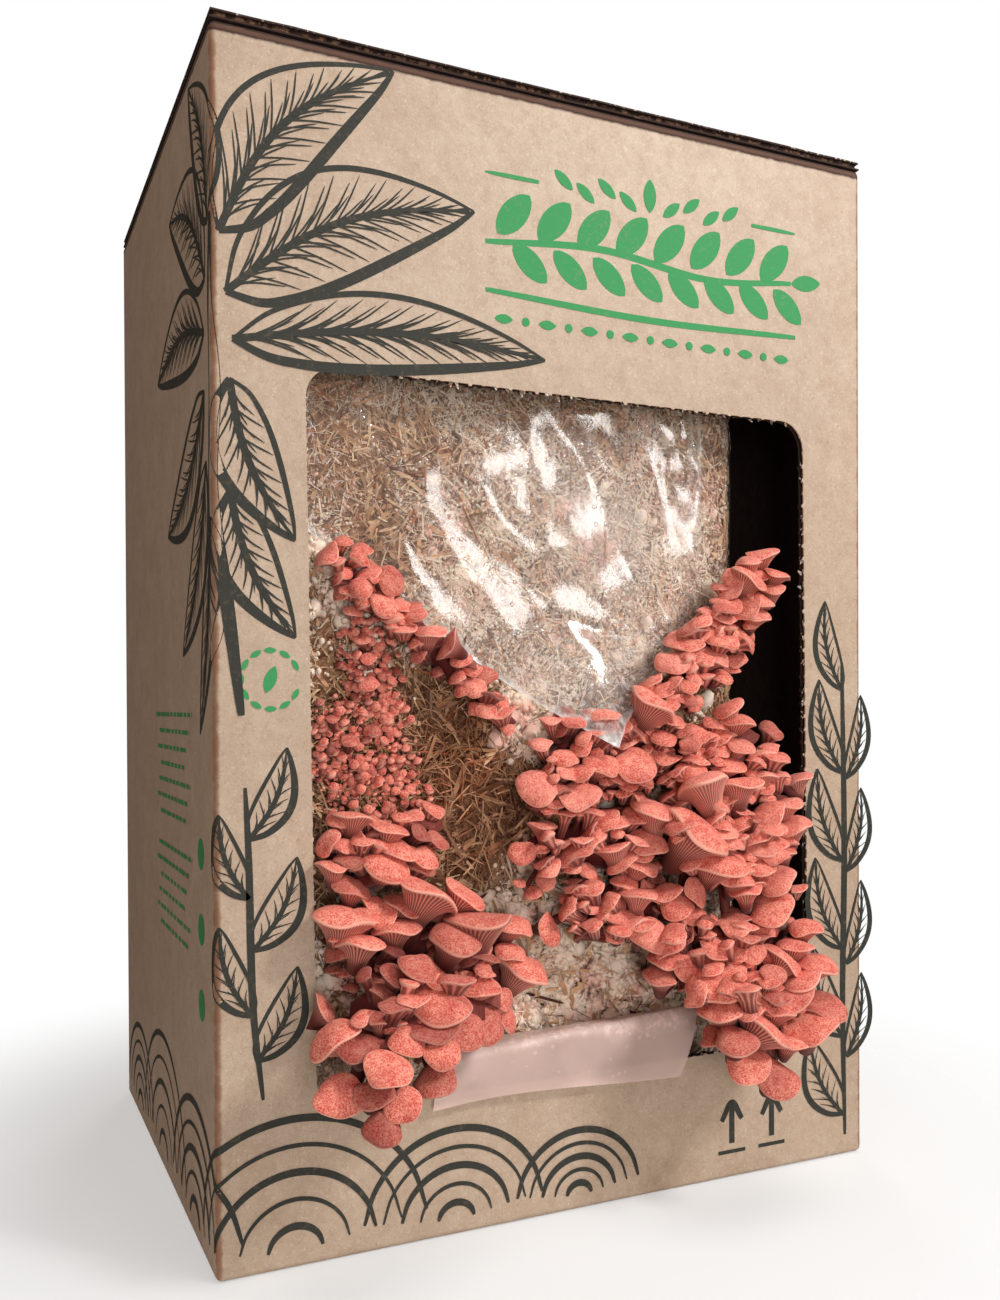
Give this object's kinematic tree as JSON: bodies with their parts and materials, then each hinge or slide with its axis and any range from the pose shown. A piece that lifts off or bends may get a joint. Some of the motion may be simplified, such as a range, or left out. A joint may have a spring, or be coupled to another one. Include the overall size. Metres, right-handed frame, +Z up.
{
  "type": "oyster mushroom grow kit",
  "caption": "Upright corrugated carton holding a straw block in a cut film bag, with bunches of young pink oyster mushrooms growing out through a torn-open front window.",
  "frame": {"origin": "centre of the carton's underside", "axes": "+Z up, +X to the right and +Y to the back, seen from the front, where the window is"},
  "size_m": [0.25, 0.2461, 0.385],
  "materials": {
    "kraft_board": "matt kraft corrugated board",
    "straw": "chopped straw grown through with white mycelium",
    "clear_film": "clear glossy film",
    "mushroom_flesh": "velvety salmon-pink flesh with paler mottling"
  },
  "bodies": {
    "root": {"carton": "kraft_board", "straw_block": "straw", "film_bag": "clear_film", "bunch_upper_left": "mushroom_flesh", "bunch_left": "mushroom_flesh", "bunch_lower_left": "mushroom_flesh", "bunch_centre": "mushroom_flesh", "bunch_upper_right": "mushroom_flesh", "bunch_right": "mushroom_flesh", "bunch_lower_right": "mushroom_flesh"}
  },
  "joints": []
}
